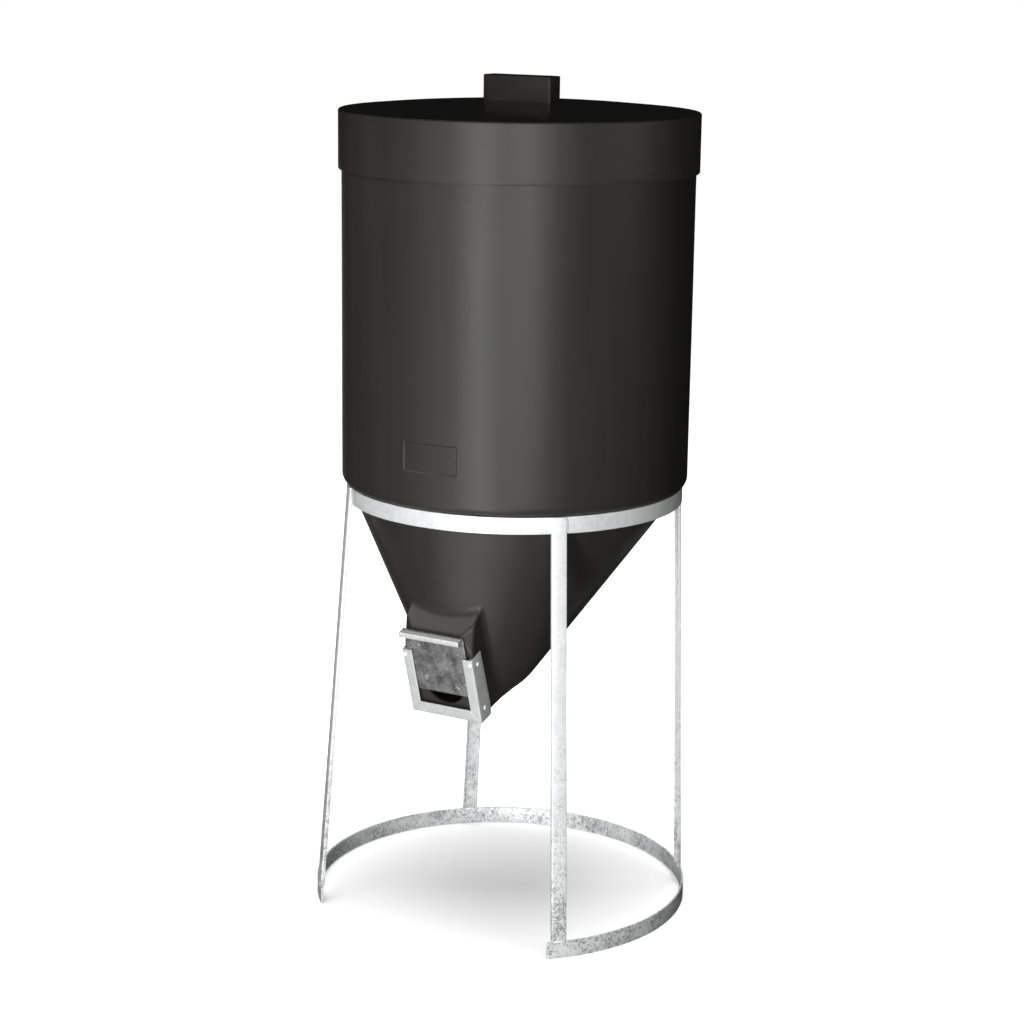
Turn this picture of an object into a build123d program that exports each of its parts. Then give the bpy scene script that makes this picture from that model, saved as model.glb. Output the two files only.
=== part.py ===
from build123d import *
from math import cos, degrees, radians, sin, sqrt, tan
import os

# Feed hopper: a moulded plastic tank with an offset cone and a slide gate, standing in
# a galvanised steel stand.  Millimetres.  The origin is on the floor, under the tank's
# axis.  +Z is up and -Y is the side that the gate faces.

# ---- Tank -------------------------------------------------------------------------
TANK_R = 343.0
TANK_WALL = 6.0
RIM_Z = 1588.0
CORNER_R = 20.0
LABEL_AZIMUTH = 272.0
LABEL_ARC = 19.0
LABEL_Z = (941.0, 996.0)
LABEL_DEPTH = 1.2

# ---- Offset cone ------------------------------------------------------------------
CONE_TOP_Z = 855.0
CONE_TOP_R = 326.0
CONE_END_Z = 375.0
CONE_END_R = 20.0
CONE_END_Y = -165.0
CONE_CUT_Z = 428.5
CONE_WALL = 7.0
FLOOR_SLOPE = 14.0
FLOOR_POINT = (-214.0, 451.5)
FLOOR_WALL = 5.0
FLOOR_ROUND = 24.0

# ---- Lid --------------------------------------------------------------------------
LID_R = 349.5
LID_TOP_Z = 1594.0
LID_SKIRT = 113.0
LID_WALL = 5.0
LID_ROUND = 4.0
LID_RISE = 18.0
HANDLE_LENGTH = 148.0
HANDLE_DEPTH = 41.0
HANDLE_HEIGHT = 48.0
HANDLE_X = 3.0
HANDLE_WALL = 4.0
HANDLE_ROUND = 2.5

# ---- Stand ------------------------------------------------------------------------
BAR_THICKNESS = 4.0
TOP_RING_R = 334.0
TOP_RING_Z = (834.0, 866.0)
BASE_RING_R = 378.0
BASE_RING_HEIGHT = 34.0
BASE_SHIFT = Vector(-15.6, -9.0, 0.0)
# Azimuth of each leg's head on the top ring and of its foot on the base ring.
LEGS = {
    "leg_front_left": (225.0, 222.5),
    "leg_front_right": (314.5, 317.9),
    "leg_back_right": (39.0, 38.0),
    "leg_back_left": (130.0, 131.0),
}
LEG_WIDTH = 30.0
LEG_DEPTH = 8.0
LEG_WEB = 3.0
LEG_FLANGE = 2.5
LEG_FLANGE_GAP = 3.0
LEG_SPARE = 40.0
TAB_LENGTH = 9.0
TAB_ROUND = 3.0
TAB_HOLE_R = 2.2

# ---- Slide gate -------------------------------------------------------------------
# Gate coordinates: x as above, w up along the gate, n straight out of it.
GATE_CENTRE = Vector(0.0, -270.0, 506.0)
GATE_LEAN = 17.0
SHEET = 2.0
FRAME_HALF_WIDTH = 79.0
FRAME_BOTTOM = -71.0
FRAME_TOP = 71.0
FACE_WIDTH = 22.0
RAIL_FACE = 25.0
FLANGE_DEPTH = 36.0
FLANGE_PEAK = (3.0, 1.0)
FLANGE_HEEL = (21.0, 4.0)
SEAT_N = -9.0
SEAT_TOP = 117.0
ROOF_SLOPE = 50.0
ROOF_LENGTH = 95.0
NECK_BACK_Y = -140.0
SHOULDER_LOW_W = 76.0
SHOULDER_TAPER = 20.0
SHOULDER_HIGH = (-278.5, 635.0)
SHOULDER_CUTTER = (120.0, 200.0, 60.0)
NECK_WALL = 5.0
NECK_ROUND = 14.0
OUTLET_R = 44.0
STRIP_WIDTH = 7.0
PLATE_X = (-69.5, 64.0)
PLATE_N = -6.0
PLATE_LENGTH = 135.0
PLATE_CLOSED_BOTTOM = -50.0
PLATE_LIFT = 33.0
LIP_REACH = 18.0
LIP_DROP = 10.0

# ---- Rivets -----------------------------------------------------------------------
RIVET_R = 2.4
RIVET_HOLE_R = 2.5
RIVET_HEAD_R = 4.6
RIVET_HEAD_HEIGHT = 1.9
RIVET_TAIL_R = 3.6
RIVET_TAIL_HEIGHT = 3.0
SIDE_RIVET_N = -19.0
SIDE_RIVET_W = {"upper": 54.0, "lower": -45.0}
FRONT_RIVET_W = 60.0
FRONT_RIVET_GRIP = 6.0
FRONT_HOLE_DEPTH = 5.5
WASHER_R = 4.5
WASHER_THICKNESS = 1.0
PIP_R = 3.0

# ---- Derived ----------------------------------------------------------------------
NECK_HALF_WIDTH = FRAME_HALF_WIDTH - SHEET
RING_INNER_R = TOP_RING_R - BAR_THICKNESS
CORNER_CENTRE_R = TANK_R - CORNER_R
DOME_EDGE_R = LID_R - LID_ROUND
DOME_R = (DOME_EDGE_R**2 + LID_RISE**2) / (2 * LID_RISE)
LID_CROWN_Z = LID_TOP_Z + LID_RISE
# The rounded corner rests on the inner top edge of the top ring.
CORNER_RISE = CORNER_R - sqrt(CORNER_R**2 - (RING_INNER_R - CORNER_CENTRE_R) ** 2)
TANK_BOTTOM_Z = TOP_RING_Z[1] - CORNER_RISE + 0.02
SIDES = {"left": -1, "right": 1}
BIG = 1200.0
OVERLAP = 1.0
DRILL_LENGTH = 40.0
STANDING = (Align.CENTER, Align.CENTER, Align.MIN)
HANGING = (Align.CENTER, Align.CENTER, Align.MAX)

GATE = Plane(
    origin=GATE_CENTRE,
    x_dir=(1, 0, 0),
    z_dir=(0, -cos(radians(GATE_LEAN)), -sin(radians(GATE_LEAN))),
)


def radial(azimuth):
    """Unit vector pointing away from the axis at an azimuth in degrees."""
    return Vector(cos(radians(azimuth)), sin(radians(azimuth)), 0)


def gate_box(x, w, n):
    """Box given by its ranges in gate coordinates."""
    size = (x[1] - x[0], w[1] - w[0], n[1] - n[0])
    corner = (x[0], w[0], n[0])
    return GATE * Pos(*corner) * Box(*size, align=(Align.MIN, Align.MIN, Align.MIN))


def gate_prism(points, n):
    """Prism between two depths n, from an outline of (x, w) points."""
    outline = make_face(Polyline(*points, close=True))
    return GATE * Pos(0, 0, n[0]) * extrude(outline, n[1] - n[0])


def gate_hole(plane_x, w, n, r):
    """Cylinder along x, through the side wall at plane_x."""
    along_x = Rot(0, 90, 0) * Cylinder(r, DRILL_LENGTH)
    return GATE * Pos(plane_x, w, n) * along_x


def cone_circle(z, inset):
    """Circle of the offset cone at height z, drawn in by inset."""
    t = (CONE_TOP_Z - z) / (CONE_TOP_Z - CONE_END_Z)
    r = CONE_TOP_R + (CONE_END_R - CONE_TOP_R) * t - inset
    return Pos(0, CONE_END_Y * t, z) * Circle(r)


def floor_height(y):
    """Height of the sloping outlet floor's outer face at depth y."""
    return FLOOR_POINT[1] + (y - FLOOR_POINT[0]) * tan(radians(FLOOR_SLOPE))


def below_floor(offset):
    """Everything under the sloping floor, raised by offset."""
    block = Box(BIG, BIG, BIG, align=HANGING)
    return Pos(0, FLOOR_POINT[0], FLOOR_POINT[1] + offset) * Rot(FLOOR_SLOPE, 0, 0) * block


def tank_barrel(r, bottom, top, corner):
    """Upright cylinder with a rounded bottom corner."""
    barrel = Pos(0, 0, bottom) * Cylinder(r, top - bottom, align=STANDING)
    return fillet(barrel.edges().sort_by(Axis.Z)[0], corner)


def neck_collar(r, low, high):
    """Short cylinder between the barrel and the cone."""
    return Pos(0, 0, low) * Cylinder(r, high - low, align=STANDING)


def cone_shell(inset, floor_offset, round_r):
    """Offset cone cut by the outlet floor, with a rounded bottom edge."""
    cone = loft([cone_circle(CONE_TOP_Z, inset), cone_circle(CONE_CUT_Z, inset)])
    cone = cone - below_floor(floor_offset)
    return fillet(cone.edges().sort_by(Axis.Z)[0], round_r)


def seat_foot(n, inset):
    """Where the plane at depth n meets the outlet floor raised by inset."""
    high = GATE.from_local_coords(Vector(0, 0, n))
    low = GATE.from_local_coords(Vector(0, -1, n))
    gap_high = high.Z - floor_height(high.Y) - inset
    gap_low = low.Z - floor_height(low.Y) - inset
    return GATE.from_local_coords(Vector(0, -gap_high / (gap_high - gap_low), n))


def neck_profile(inset):
    """Side view of the outlet neck as (y, z) points, drawn in by inset."""
    seat_low = seat_foot(SEAT_N - inset, inset)
    seat_high = GATE.from_local_coords(Vector(0, SEAT_TOP - inset, SEAT_N - inset))
    roof_back = (
        seat_high.Y + ROOF_LENGTH * cos(radians(ROOF_SLOPE)),
        seat_high.Z + ROOF_LENGTH * sin(radians(ROOF_SLOPE)),
    )
    return [
        (seat_low.Y, seat_low.Z),
        (seat_high.Y, seat_high.Z),
        roof_back,
        (NECK_BACK_Y, roof_back[1]),
        (NECK_BACK_Y, floor_height(NECK_BACK_Y) + inset),
    ]


def neck_block(inset, round_r):
    """Outlet neck, square to the gate, with its lower side edges rounded."""
    outline = make_face(Polyline(*neck_profile(inset), close=True))
    half = NECK_HALF_WIDTH - inset
    block = extrude(Plane.YZ * outline, half, both=True)
    side_edges = [e for e in block.edges() if abs(e.center().X) > half - 1]
    block = fillet(sorted(side_edges, key=lambda e: e.center().Z)[:2], round_r)
    for side in SIDES.values():
        block = block - shoulder_cut(side, inset)
    return block


def shoulder_cut(side, inset):
    """Sloping cut that narrows the neck's face above the gate frame."""
    half = NECK_HALF_WIDTH - inset
    seat = SEAT_N - inset
    low = GATE.from_local_coords(Vector(side * half, SHOULDER_LOW_W, seat))
    inner_x = side * (half - SHOULDER_TAPER)
    inner = GATE.from_local_coords(Vector(inner_x, SEAT_TOP - inset, seat))
    high = Vector(side * half, SHOULDER_HIGH[0] + inset, SHOULDER_HIGH[1])
    normal = (high - low).cross(inner - low).normalized()
    if normal.X * side < 0:
        normal = normal * -1
    cutter = Box(*SHOULDER_CUTTER, align=STANDING)
    return Plane(origin=low, x_dir=high - low, z_dir=normal) * cutter


def label_recess():
    """Shallow rectangular panel for a label, let into the barrel."""
    height = LABEL_Z[1] - LABEL_Z[0]
    panel = Plane.XZ * Pos(TANK_R, sum(LABEL_Z) / 2) * Rectangle(2 * LABEL_DEPTH, height)
    swept = revolve(panel, Axis.Z, LABEL_ARC)
    return Rot(0, 0, LABEL_AZIMUTH - LABEL_ARC / 2) * swept


def hopper_body():
    """Tank, cone and outlet neck moulded in one."""
    outer = tank_barrel(TANK_R, TANK_BOTTOM_Z, RIM_Z, CORNER_R)
    outer += neck_collar(CONE_TOP_R, CONE_TOP_Z, TANK_BOTTOM_Z + OVERLAP)
    outer += cone_shell(0, 0, FLOOR_ROUND)
    outer += neck_block(0, NECK_ROUND)

    inner_bottom = TANK_BOTTOM_Z + TANK_WALL
    inner = tank_barrel(TANK_R - TANK_WALL, inner_bottom, RIM_Z + TANK_WALL, CORNER_R - TANK_WALL)
    inner += neck_collar(CONE_TOP_R - CONE_WALL, CONE_TOP_Z, inner_bottom + OVERLAP)
    inner += cone_shell(CONE_WALL, FLOOR_WALL, FLOOR_ROUND - FLOOR_WALL)
    inner += neck_block(NECK_WALL, NECK_ROUND - NECK_WALL)

    body = outer - inner - label_recess()
    body -= GATE * Pos(0, 0, SEAT_N) * Cylinder(OUTLET_R, 4 * NECK_WALL)
    for side in SIDES.values():
        for w in SIDE_RIVET_W.values():
            body -= gate_hole(side * NECK_HALF_WIDTH, w, SIDE_RIVET_N, RIVET_HOLE_R)
    return body


def dome(inset):
    """Shallow dome over the lid's edge, drawn in by inset."""
    ball = Pos(0, 0, LID_CROWN_Z - DOME_R) * Sphere(DOME_R - inset)
    low = LID_TOP_Z - inset - OVERLAP
    trim = Pos(0, 0, low) * Cylinder(DOME_EDGE_R - inset, 2 * LID_RISE, align=STANDING)
    return ball & trim


def lid():
    """Lift-off domed lid with a deep skirt and a hollow block handle."""
    skirt_z = LID_TOP_Z - LID_SKIRT
    cap = Pos(0, 0, skirt_z) * Cylinder(LID_R, LID_SKIRT, align=STANDING)
    cap = fillet(cap.edges().sort_by(Axis.Z)[-1], LID_ROUND) + dome(0)
    hollow = Pos(0, 0, skirt_z - OVERLAP) * Cylinder(
        LID_R - LID_WALL, LID_SKIRT - LID_WALL + OVERLAP, align=STANDING
    )
    hollow += dome(LID_WALL)
    foot_z = LID_CROWN_Z - LID_WALL
    grip = Pos(HANDLE_X, 0, foot_z) * Box(
        HANDLE_LENGTH, HANDLE_DEPTH, HANDLE_HEIGHT + LID_WALL, align=STANDING
    )
    grip = fillet([e for e in grip.edges() if e.center().Z > foot_z], HANDLE_ROUND)
    grip_hollow = Pos(HANDLE_X, 0, foot_z - LID_WALL) * Box(
        HANDLE_LENGTH - 2 * HANDLE_WALL,
        HANDLE_DEPTH - 2 * HANDLE_WALL,
        HANDLE_HEIGHT - HANDLE_WALL + 2 * LID_WALL,
        align=STANDING,
    )
    return cap + grip - hollow - grip_hollow


def rolled_bar(r, z_low, z_high, start, arc):
    """Flat bar rolled on edge to outer radius r, from a start azimuth through an arc."""
    section = Plane.XZ * Pos(r - BAR_THICKNESS / 2, (z_low + z_high) / 2) * Rectangle(
        BAR_THICKNESS, z_high - z_low
    )
    return Rot(0, 0, start) * revolve(section, Axis.Z, arc)


def top_ring():
    """Closed ring that the tank sits in."""
    return rolled_bar(TOP_RING_R, *TOP_RING_Z, 0, 360)


def tab_angle(distance):
    """Angle on the base ring for a distance past a leg's centre line."""
    return degrees(distance / BASE_RING_R)


def bottom_ring():
    """Base ring, open under the gate, with a drilled tab past each front leg."""
    past = tab_angle(LEG_WIDTH / 2 + TAB_LENGTH)
    right_foot = LEGS["leg_front_right"][1]
    left_foot = LEGS["leg_front_left"][1]
    start = right_foot - past
    arc = 360 - (right_foot - left_foot) + 2 * past
    ring = rolled_bar(BASE_RING_R, 0, BASE_RING_HEIGHT, start, arc)
    corners = [e for e in ring.edges() if abs(e.length - BAR_THICKNESS) < 0.01]
    ring = fillet(corners, TAB_ROUND)
    hole_at = tab_angle(LEG_WIDTH / 2 + TAB_LENGTH / 2)
    for azimuth in (start + past - hole_at, start + arc - past + hole_at):
        drill = Rot(0, 0, azimuth) * Pos(BASE_RING_R, 0, BASE_RING_HEIGHT / 2)
        ring -= drill * Rot(0, 90, 0) * Cylinder(TAB_HOLE_R, DRILL_LENGTH)
    return Pos(*BASE_SHIFT) * ring


def leg(head_azimuth, foot_azimuth):
    """Splayed channel leg: its web laps the top ring and its foot stands on the base ring."""
    out = radial(head_azimuth)
    head = out * (TOP_RING_R + LEG_WEB) + Vector(0, 0, TOP_RING_Z[1])
    foot = BASE_SHIFT + radial(foot_azimuth) * BASE_RING_R + Vector(0, 0, BASE_RING_HEIGHT)
    along = (head - foot).normalized()
    # The section's y axis points outward, so its x axis is outward cross along.
    section = Plane(origin=foot - along * LEG_SPARE, x_dir=out.cross(along), z_dir=along)
    length = (head - foot).length + 2 * LEG_SPARE
    face = (Align.CENTER, Align.MAX)
    web = extrude(section * Rectangle(LEG_WIDTH, LEG_WEB, align=face), length)
    channel = extrude(section * Rectangle(LEG_WIDTH, LEG_DEPTH, align=face), length)
    inside = Rectangle(LEG_WIDTH - 2 * LEG_FLANGE, LEG_DEPTH, align=face)
    channel -= extrude(section * Pos(0, -LEG_WEB) * inside, length)
    web = web & slab(BASE_RING_HEIGHT, TOP_RING_Z[1])
    channel = channel & slab(BASE_RING_HEIGHT, TOP_RING_Z[0] - LEG_FLANGE_GAP)
    return web + channel


def slab(low, high):
    """Everything between two heights."""
    return Pos(0, 0, low) * Box(BIG, BIG, high - low, align=STANDING)


def gate_upright(side):
    """Angle section beside the outlet: a face strip and a side flange riveted to the neck."""
    edge = side * FRAME_HALF_WIDTH
    inner = edge - side * FACE_WIDTH
    mitre = FRAME_BOTTOM + RAIL_FACE
    face = gate_prism(
        [(inner, mitre), (edge, FRAME_BOTTOM), (edge, FRAME_TOP), (inner, FRAME_TOP)],
        (-SHEET, 0),
    )
    outline = Polyline(
        (edge, FRAME_BOTTOM, -SHEET),
        (edge, FRAME_TOP, -SHEET),
        (edge, FRAME_TOP + FLANGE_PEAK[0], FLANGE_PEAK[1] - FLANGE_DEPTH),
        (edge, FRAME_BOTTOM + FLANGE_HEEL[0], -FLANGE_DEPTH - FLANGE_HEEL[1]),
        (edge, FRAME_BOTTOM, -FLANGE_DEPTH),
        close=True,
    )
    upright = face + GATE * extrude(make_face(outline), SHEET, dir=(-side, 0, 0))
    for w in SIDE_RIVET_W.values():
        upright -= gate_hole(edge, w, SIDE_RIVET_N, RIVET_HOLE_R)
    strip_x = side * (NECK_HALF_WIDTH - STRIP_WIDTH / 2)
    upright -= GATE * Pos(strip_x, FRONT_RIVET_W, 0) * Cylinder(RIVET_HOLE_R, 3 * SHEET)
    pip = GATE * Pos(inner + side * (PIP_R + 1), FRAME_TOP - PIP_R - 1, -PIP_R / 2) * Sphere(PIP_R)
    return upright + (pip - gate_box((-BIG, BIG), (-BIG, BIG), (-BIG, -SHEET / 2)))


def gate_bottom_rail():
    """Angle section under the outlet, mitred to the uprights."""
    edge = FRAME_HALF_WIDTH
    inner = edge - FACE_WIDTH
    mitre = FRAME_BOTTOM + RAIL_FACE
    face = gate_prism(
        [(-edge, FRAME_BOTTOM), (edge, FRAME_BOTTOM), (inner, mitre), (-inner, mitre)],
        (-SHEET, 0),
    )
    half = NECK_HALF_WIDTH
    ledge = gate_box((-half, half), (FRAME_BOTTOM, FRAME_BOTTOM + SHEET), (-FLANGE_DEPTH, 0))
    return face + ledge


def guide_strip(side):
    """Packing strip behind an upright's face: it sets the gap that the plate slides in."""
    outer = side * NECK_HALF_WIDTH
    inner = outer - side * STRIP_WIDTH
    x = (min(outer, inner), max(outer, inner))
    strip = gate_box(x, (FRAME_BOTTOM + SHEET, FRAME_TOP - 1), (SEAT_N, -SHEET))
    centre = (outer + inner) / 2
    drill = Cylinder(RIVET_HOLE_R, 2 * FRONT_HOLE_DEPTH)
    return strip - GATE * Pos(centre, FRONT_RIVET_W, -SHEET) * drill


def gate_plate():
    """Sliding plate with its top edge folded out and down into a pull lip."""
    bottom = PLATE_CLOSED_BOTTOM + PLATE_LIFT
    top = bottom + PLATE_LENGTH
    front = PLATE_N + SHEET
    plate = gate_box(PLATE_X, (bottom, top), (PLATE_N, front))
    lip = gate_box(PLATE_X, (top - SHEET, top), (PLATE_N, front + LIP_REACH))
    drop = gate_box(
        PLATE_X, (top - LIP_DROP, top), (front + LIP_REACH - SHEET, front + LIP_REACH)
    )
    return plate + lip + drop


def rivet(grip, tail_r):
    """Domed rivet along z: head above z = 0, shank and tail below."""
    dome_r = (RIVET_HEAD_R**2 + RIVET_HEAD_HEIGHT**2) / (2 * RIVET_HEAD_HEIGHT)
    dome = Pos(0, 0, RIVET_HEAD_HEIGHT - dome_r) * Sphere(dome_r)
    body = (dome & slab(0, 2 * RIVET_HEAD_HEIGHT)) + Cylinder(RIVET_R, grip, align=HANGING)
    if tail_r > 0:
        body += Pos(0, 0, -grip) * Cylinder(tail_r, RIVET_TAIL_HEIGHT, align=HANGING)
    return body


def side_rivet(side, w):
    """Rivet through a side flange, the neck's wall and a backing washer."""
    grip = SHEET + NECK_WALL + WASHER_THICKNESS
    place = Pos(side * FRAME_HALF_WIDTH, w, SIDE_RIVET_N) * Rot(0, side * 90, 0)
    return GATE * place * rivet(grip, RIVET_TAIL_R)


def backing_washer(side, w):
    """Washer that spreads a side rivet's tail on the plastic."""
    ring = Cylinder(WASHER_R, WASHER_THICKNESS) - Cylinder(RIVET_HOLE_R, 2 * WASHER_THICKNESS)
    x = side * (NECK_HALF_WIDTH - NECK_WALL - WASHER_THICKNESS / 2)
    return GATE * Pos(x, w, SIDE_RIVET_N) * Rot(0, 90, 0) * ring


def front_rivet(side):
    """Short rivet that holds an upright's face to its guide strip."""
    x = side * (NECK_HALF_WIDTH - STRIP_WIDTH / 2)
    return GATE * Pos(x, FRONT_RIVET_W, 0) * rivet(FRONT_RIVET_GRIP, 0)


def all_parts():
    """Every sub-part by node name."""
    parts = {
        "hopper_body": hopper_body(),
        "lid": lid(),
        "top_ring": top_ring(),
        "bottom_ring": bottom_ring(),
        "gate_bottom_rail": gate_bottom_rail(),
        "gate_plate": gate_plate(),
    }
    for name, (head_azimuth, foot_azimuth) in LEGS.items():
        parts[name] = leg(head_azimuth, foot_azimuth)
    for hand, side in SIDES.items():
        parts["gate_upright_" + hand] = gate_upright(side)
        parts["guide_strip_" + hand] = guide_strip(side)
        parts["front_rivet_" + hand] = front_rivet(side)
        for level, w in SIDE_RIVET_W.items():
            parts["side_rivet_" + hand + "_" + level] = side_rivet(side, w)
            parts["backing_washer_" + hand + "_" + level] = backing_washer(side, w)
    return parts


os.makedirs("parts", exist_ok=True)
for node, shape in all_parts().items():
    export_step(shape, "parts/" + node + ".step")
    print(node, round(shape.volume / 1000, 2), "cm3")
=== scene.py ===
from math import cos, degrees, exp, pi, radians, sin, sqrt, tan

import bmesh
import bpy
import numpy as np
from mathutils import Matrix, Vector, noise


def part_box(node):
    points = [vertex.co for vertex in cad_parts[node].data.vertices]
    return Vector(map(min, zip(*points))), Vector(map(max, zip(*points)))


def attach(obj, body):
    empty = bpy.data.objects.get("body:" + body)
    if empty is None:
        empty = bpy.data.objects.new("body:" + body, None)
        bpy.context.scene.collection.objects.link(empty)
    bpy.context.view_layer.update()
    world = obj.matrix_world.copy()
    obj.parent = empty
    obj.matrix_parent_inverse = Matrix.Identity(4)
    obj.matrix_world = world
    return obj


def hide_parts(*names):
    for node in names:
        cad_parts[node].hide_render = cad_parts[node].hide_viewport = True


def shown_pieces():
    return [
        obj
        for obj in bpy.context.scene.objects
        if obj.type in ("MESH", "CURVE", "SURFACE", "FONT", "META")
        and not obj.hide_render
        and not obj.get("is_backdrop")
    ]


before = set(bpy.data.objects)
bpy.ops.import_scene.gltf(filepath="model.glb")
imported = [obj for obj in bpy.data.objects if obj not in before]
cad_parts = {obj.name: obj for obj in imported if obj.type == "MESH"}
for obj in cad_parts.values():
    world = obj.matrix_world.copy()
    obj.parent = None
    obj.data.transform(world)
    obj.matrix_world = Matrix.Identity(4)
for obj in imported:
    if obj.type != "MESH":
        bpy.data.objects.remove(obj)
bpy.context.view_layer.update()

# Feed hopper: plastic tank, cone and lid on a galvanised stand, with a slide gate.
# Metres.  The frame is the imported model's: origin on the floor under the tank, gate
# facing -Y.

MM = 0.001

# ---- Tank and lid -----------------------------------------------------------------
TANK_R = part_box("hopper_body")[1].x
RIM_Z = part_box("hopper_body")[1].z
TANK_WALL = 6 * MM
CORNER_R = 20 * MM
LABEL_AZIMUTH = 272.0
LABEL_ARC = 19.0
LABEL_Z = (941 * MM, 996 * MM)
LABEL_DEPTH = 2.2 * MM
LABEL_SLOPE = 1.1 * MM
LABEL_SLOPE_ARC = degrees(LABEL_SLOPE / TANK_R)
BARREL_RIPPLE = 0.45 * MM
# Shallow dents near the barrel's foot: azimuth, height, half arc and half height.
DENTS = ((283.5, 873 * MM, 2.2, 6 * MM), (289.0, 868 * MM, 2.6, 5 * MM))
DENT_DEPTH = 1.1 * MM
LID_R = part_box("lid")[1].x
LID_SKIRT_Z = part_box("lid")[0].z
HANDLE_TOP_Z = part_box("lid")[1].z
HANDLE_HEIGHT = 48 * MM
LID_RISE = 18 * MM
LID_TOP_Z = HANDLE_TOP_Z - HANDLE_HEIGHT - LID_RISE
LID_WALL = 5 * MM
LID_ROUND = 4 * MM
LID_LIP_R = 1.2 * MM
LID_COUNT = 240
SKIRT_RIPPLE = 0.35 * MM
DOME_RIPPLE = 0.5 * MM
HANDLE_LENGTH = 148 * MM
HANDLE_DEPTH = 41 * MM
HANDLE_X = 3 * MM
HANDLE_WALL = 4 * MM
HANDLE_ROUND = 2.5 * MM

# ---- Offset cone and outlet neck --------------------------------------------------
CONE_TOP_Z = 855 * MM
CONE_TOP_R = 326 * MM
CONE_END_Z = 375 * MM
CONE_END_R = 20 * MM
CONE_END_Y = -165 * MM
CONE_WALL = 7 * MM
CAST_POINT = (-150 * MM, 540 * MM)
CAST_HALVINGS = 34
FRONT_ARC = (195, 345)
NECK_ARC = (228, 312)
FLOOR_SLOPE = radians(14)
FLOOR_POINT = (-214 * MM, 451.5 * MM)
FLOOR_WALL = 5 * MM
FLOOR_ROUND = 24 * MM
GATE_CENTRE = Vector((0, -270 * MM, 506 * MM))
GATE_LEAN = radians(17)
SHEET = 2 * MM
FRAME_HALF = 79 * MM
FRAME_W = (-71 * MM, 71 * MM)
FACE_WIDTH = 22 * MM
RAIL_FACE = 25 * MM
FLANGE_DEPTH = 36 * MM
FLANGE_PEAK = (3 * MM, 1 * MM)
FLANGE_HEEL = (21 * MM, 4 * MM)
NECK_HALF = FRAME_HALF - SHEET
SEAT_N = -9 * MM
SEAT_TOP = 117 * MM
ROOF_SLOPE = radians(50)
NECK_BACK_Y = -140 * MM
SHOULDER_LOW_W = 76 * MM
SHOULDER_TAPER = 20 * MM
SHOULDER_HIGH = (-278.5 * MM, 635 * MM)
NECK_WALL = 5 * MM
NECK_ROUND = 14 * MM
NECK_EDGE = 2.2 * MM
NECK_BLEND = 9 * MM
OUTLET_R = 44 * MM
PLATE_X = (-69.5 * MM, 64 * MM)
PLATE_N = -6 * MM
PLATE_W = (-17 * MM, 118 * MM)
LIP_REACH = 18 * MM
LIP_DROP = 10 * MM
BEND_R = 2.6 * MM
LIP_BEND_R = 2.2 * MM
SHEET_EDGE = 0.45 * MM
CUT_EDGE = 0.4 * MM
PLATE_BOW = 0.5 * MM
RIVET_HEAD_R = 4.6 * MM
RIVET_HEAD_HEIGHT = 1.9 * MM
RIVET_RIM = 0.35 * MM
RIVET_SHANK_R = 2.4 * MM
RIVET_GRIP = 8 * MM
SIDE_RIVET_N = -19 * MM
SIDE_RIVET_W = {"upper": 54 * MM, "lower": -45 * MM}
FRONT_RIVET_X = 73.5 * MM
FRONT_RIVET_W = 60 * MM
FRONT_RIVET_GRIP = 6 * MM
PIP_R = 3 * MM
PIP_OUTER_R = 1.02 * PIP_R
PIP_HEIGHT = 1.6 * MM

# ---- Stand ------------------------------------------------------------------------
BAR = 4 * MM
BAR_ROUND = 0.7 * MM
RING_COUNT = 256
TOP_RING_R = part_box("top_ring")[1].x
TOP_RING_Z = (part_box("top_ring")[0].z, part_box("top_ring")[1].z)
BASE_RING_R = 378 * MM
BASE_RING_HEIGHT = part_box("bottom_ring")[1].z
BASE_SHIFT = Vector((-15.6 * MM, -9 * MM, 0))
LEGS = {
    "leg_front_left": (225.0, 222.5),
    "leg_front_right": (314.5, 317.9),
    "leg_back_right": (39.0, 38.0),
    "leg_back_left": (130.0, 131.0),
}
LEG_WIDTH = 30 * MM
LEG_DEPTH = 8 * MM
LEG_WEB = 3 * MM
LEG_FLANGE = 2.5 * MM
LEG_FLANGE_GAP = 3 * MM
TAB_LENGTH = 9 * MM
TAB_ROUND = 3 * MM
TAB_HOLE_R = 2.2 * MM
TAB_DRILL = 20 * MM
HEAD_BEAD_R = 1.9 * MM
FOOT_BEAD_R = 2.3 * MM
BACK_BEAD_R = 2.1 * MM

CORNER_RISE = CORNER_R - sqrt(CORNER_R**2 - (TOP_RING_R - BAR - TANK_R + CORNER_R) ** 2)
TANK_BOTTOM_Z = TOP_RING_Z[1] - CORNER_RISE
SIDES = {"left": -1, "right": 1}
STAND, LID, GATE = "stand_and_tank", "lid", "gate"

# The gate's own axes: across, up along the plate, and straight out of it.
GATE_AXES = Matrix((
    (1, 0, 0),
    (0, -sin(GATE_LEAN), -cos(GATE_LEAN)),
    (0, cos(GATE_LEAN), -sin(GATE_LEAN)),
))
GATE_FRAME = Matrix.Translation(GATE_CENTRE) @ GATE_AXES.to_4x4()
GATE_OUT = GATE_AXES.col[2]


def gate_point(x, w, n):
    """Point given by its gate coordinates."""
    return GATE_FRAME @ Vector((x, w, n))


def radial(azimuth):
    """Unit vector pointing away from the axis at an azimuth in degrees."""
    return Vector((cos(radians(azimuth)), sin(radians(azimuth)), 0))


# ---- Mesh helpers -----------------------------------------------------------------
def new_object(name, vertices, faces):
    """Mesh object from points and faces, linked to the scene."""
    mesh = bpy.data.meshes.new(name)
    mesh.from_pydata([tuple(v) for v in vertices], [], faces)
    mesh.validate()
    obj = bpy.data.objects.new(name, mesh)
    bpy.context.scene.collection.objects.link(obj)
    return obj


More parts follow.
